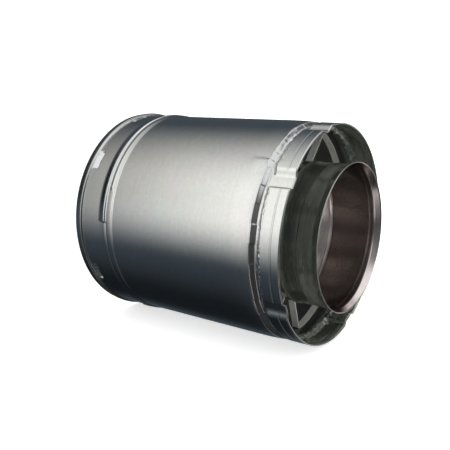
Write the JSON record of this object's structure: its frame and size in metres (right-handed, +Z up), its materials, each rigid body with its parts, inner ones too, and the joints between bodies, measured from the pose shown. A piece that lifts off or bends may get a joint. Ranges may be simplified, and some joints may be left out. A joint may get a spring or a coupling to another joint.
{
  "type": "direct vent pipe section",
  "caption": "Straight double-wall direct vent pipe section: a galvanised outer pipe with a lugged socket and a fluted spigot around a concentric aluminium flue pipe.",
  "frame": {"origin": "on the floor that the section stands on, on the axis of the pipe", "axes": "+Z up along the pipe, out of the spigot and the inner pipe's lip; the rim of the socket stands on the floor; -X is the side that is on top and -Y the side in front in the picture, where the pipe lies"},
  "size_m": [0.2078, 0.2078, 0.2448],
  "materials": {
    "galvanised_sheet": "bright galvanised sheet with faint brushing round the pipe",
    "flue_sheet": "rolled aluminium sheet",
    "spacer_strip": "dull galvanised strip"
  },
  "bodies": {
    "root": {"outer_pipe": "galvanised_sheet", "inner_pipe": "flue_sheet", "mouth_spacer": "spacer_strip", "tail_spacer": "spacer_strip"}
  },
  "joints": []
}
